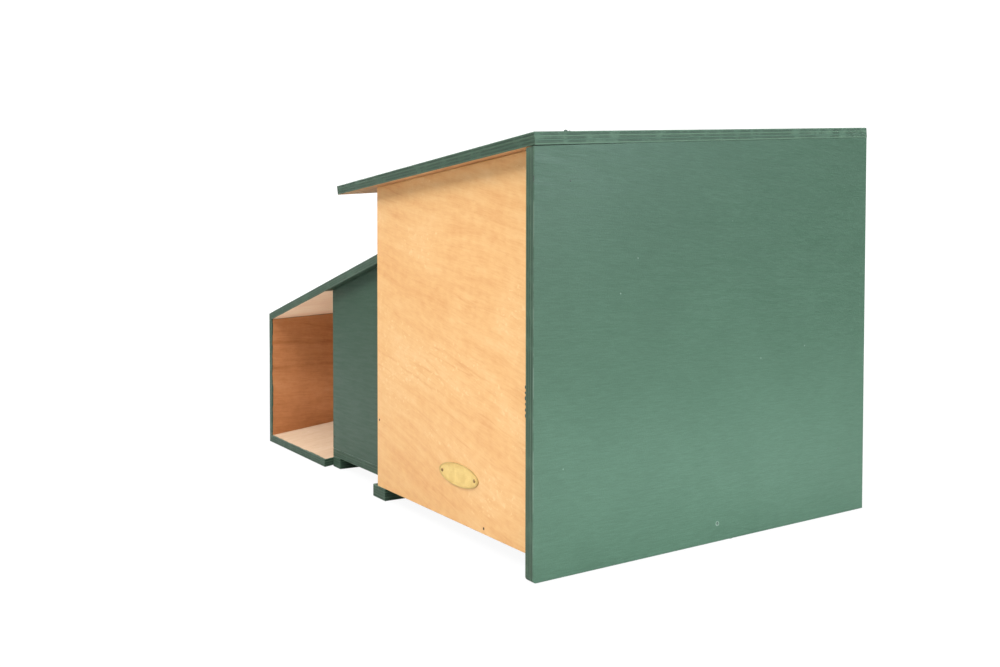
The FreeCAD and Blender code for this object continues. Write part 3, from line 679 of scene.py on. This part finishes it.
def build_floor():
    """A wide pale floor. The camera sees it near white, and it lights the box only by what it reflects."""
    mesh = bpy.data.meshes.new("floor")
    half = 14.0
    corners = [(-half, -half, 0.0), (half, -half, 0.0), (half, half, 0.0), (-half, half, 0.0)]
    mesh.from_pydata(corners, [], [(0, 1, 2, 3)])
    floor = bpy.data.objects.new("floor", mesh)
    bpy.context.collection.objects.link(floor)
    floor.location.z = -0.0004
    material, tree = new_material("pale_floor")
    position = put(tree, "ShaderNodeTexCoord").outputs["Object"]
    distance = put(tree, "ShaderNodeVectorMath", {"operation": "LENGTH"}, {0: position}).outputs["Value"]
    strength = spread(tree, distance, 0.7, 2.5, 1.04, 1.25)
    tint = blend(tree, rough_noise(tree, position, 9.0, 2.0), (0.46, 0.46, 0.46), (0.50, 0.50, 0.50))
    matt = put(tree, "ShaderNodeBsdfDiffuse", None, {"Color": tint}).outputs[0]
    glow = put(tree, "ShaderNodeEmission", None, {"Color": (1.0, 1.0, 1.0, 1.0), "Strength": strength})
    seen = put(tree, "ShaderNodeLightPath").outputs["Is Camera Ray"]
    share = calc(tree, "MULTIPLY", seen, FLOOR_GLOW_SHARE)
    both = put(tree, "ShaderNodeMixShader", None, {0: share, 1: matt, 2: glow.outputs[0]})
    output = put(tree, "ShaderNodeOutputMaterial")
    tree.links.new(both.outputs[0], output.inputs[0])
    mesh.materials.append(material)


def build_sky():
    """White to the camera, and a dimmer even fill for the surfaces."""
    world = bpy.data.worlds.new("studio")
    world.use_nodes = True
    tree = world.node_tree
    tree.nodes.clear()
    seen = put(tree, "ShaderNodeLightPath").outputs["Is Camera Ray"]
    strength = mix_value(tree, seen, SKY_FILL, SKY_SEEN)
    white = (1.0, 1.0, 1.0, 1.0)
    background = put(tree, "ShaderNodeBackground", None, {"Color": white, "Strength": strength})
    output = put(tree, "ShaderNodeOutputWorld")
    tree.links.new(background.outputs[0], output.inputs[0])
    bpy.context.scene.world = world


def softbox(name, place, target, size, power, colour=(1.0, 1.0, 1.0), mirrored=True):
    """A rectangular light that faces the target, unseen by the camera. Where it only stands in for light
    thrown back by a white floor it isn't mirrored in the paint either."""
    light = bpy.data.lights.new(name, "AREA")
    light.shape = "RECTANGLE"
    light.size, light.size_y = size
    light.energy = power
    light.color = colour
    lamp = bpy.data.objects.new(name, light)
    bpy.context.collection.objects.link(lamp)
    lamp.location = place
    lamp.visible_camera = False
    lamp.visible_glossy = mirrored
    lamp.rotation_euler = (Vector(target) - Vector(place)).to_track_quat("-Z", "Y").to_euler()


def build_lights():
    middle = (0.0, 0.0, 0.22)
    softbox("overhead", (0.1, -0.5, 2.4), middle, (2.2, 1.8), 70.0)
    softbox("front_high", (0.1, -1.8, 2.3), middle, (1.5, 0.9), 66.0)
    softbox("front_low", (0.5, -2.8, 0.7), middle, (1.8, 1.0), 9.0)
    softbox("right_window", (2.7, 0.3, 1.1), middle, (2.0, 1.6), 70.0)
    softbox("right_sheen", (2.1, 0.95, 1.0), (0.405, -0.15, 0.3), (0.8, 0.7), 25.0,
            colour=(0.70, 0.90, 1.0))
    softbox("right_bounce", (0.66, -0.02, 0.03), (0.4, -0.02, 0.03), (0.95, 0.04), 2.4,
            colour=(0.84, 0.94, 1.0), mirrored=False)
    softbox("alcove_bounce", (-0.29, -0.10, 0.045), (-0.33, -0.10, 0.25), (0.12, 0.12), 0.05,
            mirrored=False)
    softbox("back_fill", (-0.4, 2.9, 1.3), middle, (2.0, 1.4), 80.0)
    softbox("left_fill", (-3.0, 0.3, 1.2), middle, (1.8, 1.4), 70.0)


def build_camera():
    look = Vector((-math.sin(CAMERA_YAW) * math.cos(CAMERA_PITCH),
                   math.cos(CAMERA_YAW) * math.cos(CAMERA_PITCH), -math.sin(CAMERA_PITCH)))
    right = Vector((math.cos(CAMERA_YAW), math.sin(CAMERA_YAW), 0.0))
    up = right.cross(look)
    tilted_right = right * math.cos(CAMERA_ROLL) + up * math.sin(CAMERA_ROLL)
    tilted_up = up * math.cos(CAMERA_ROLL) - right * math.sin(CAMERA_ROLL)
    data = bpy.data.cameras.new("camera")
    data.sensor_width = 36.0
    data.lens = CAMERA_LENS
    data.shift_y = CAMERA_SHIFT_Y
    data.clip_start, data.clip_end = 0.01, 60.0
    camera = bpy.data.objects.new("camera", data)
    bpy.context.collection.objects.link(camera)
    turn = Matrix((tilted_right, tilted_up, -look)).transposed().to_4x4()
    camera.matrix_world = Matrix.Translation(CAMERA_PLACE) @ turn
    bpy.context.scene.camera = camera


# ---- run -----------------------------------------------------------------------------------------

dress_chamber()
dress_roofs()
dress_porch()
dress_battens()
dress_metal()
add_wear()
build_floor()
build_sky()
build_lights()
build_camera()
bpy.context.scene.view_settings.view_transform = "Standard"
bpy.context.scene.view_settings.look = "None"
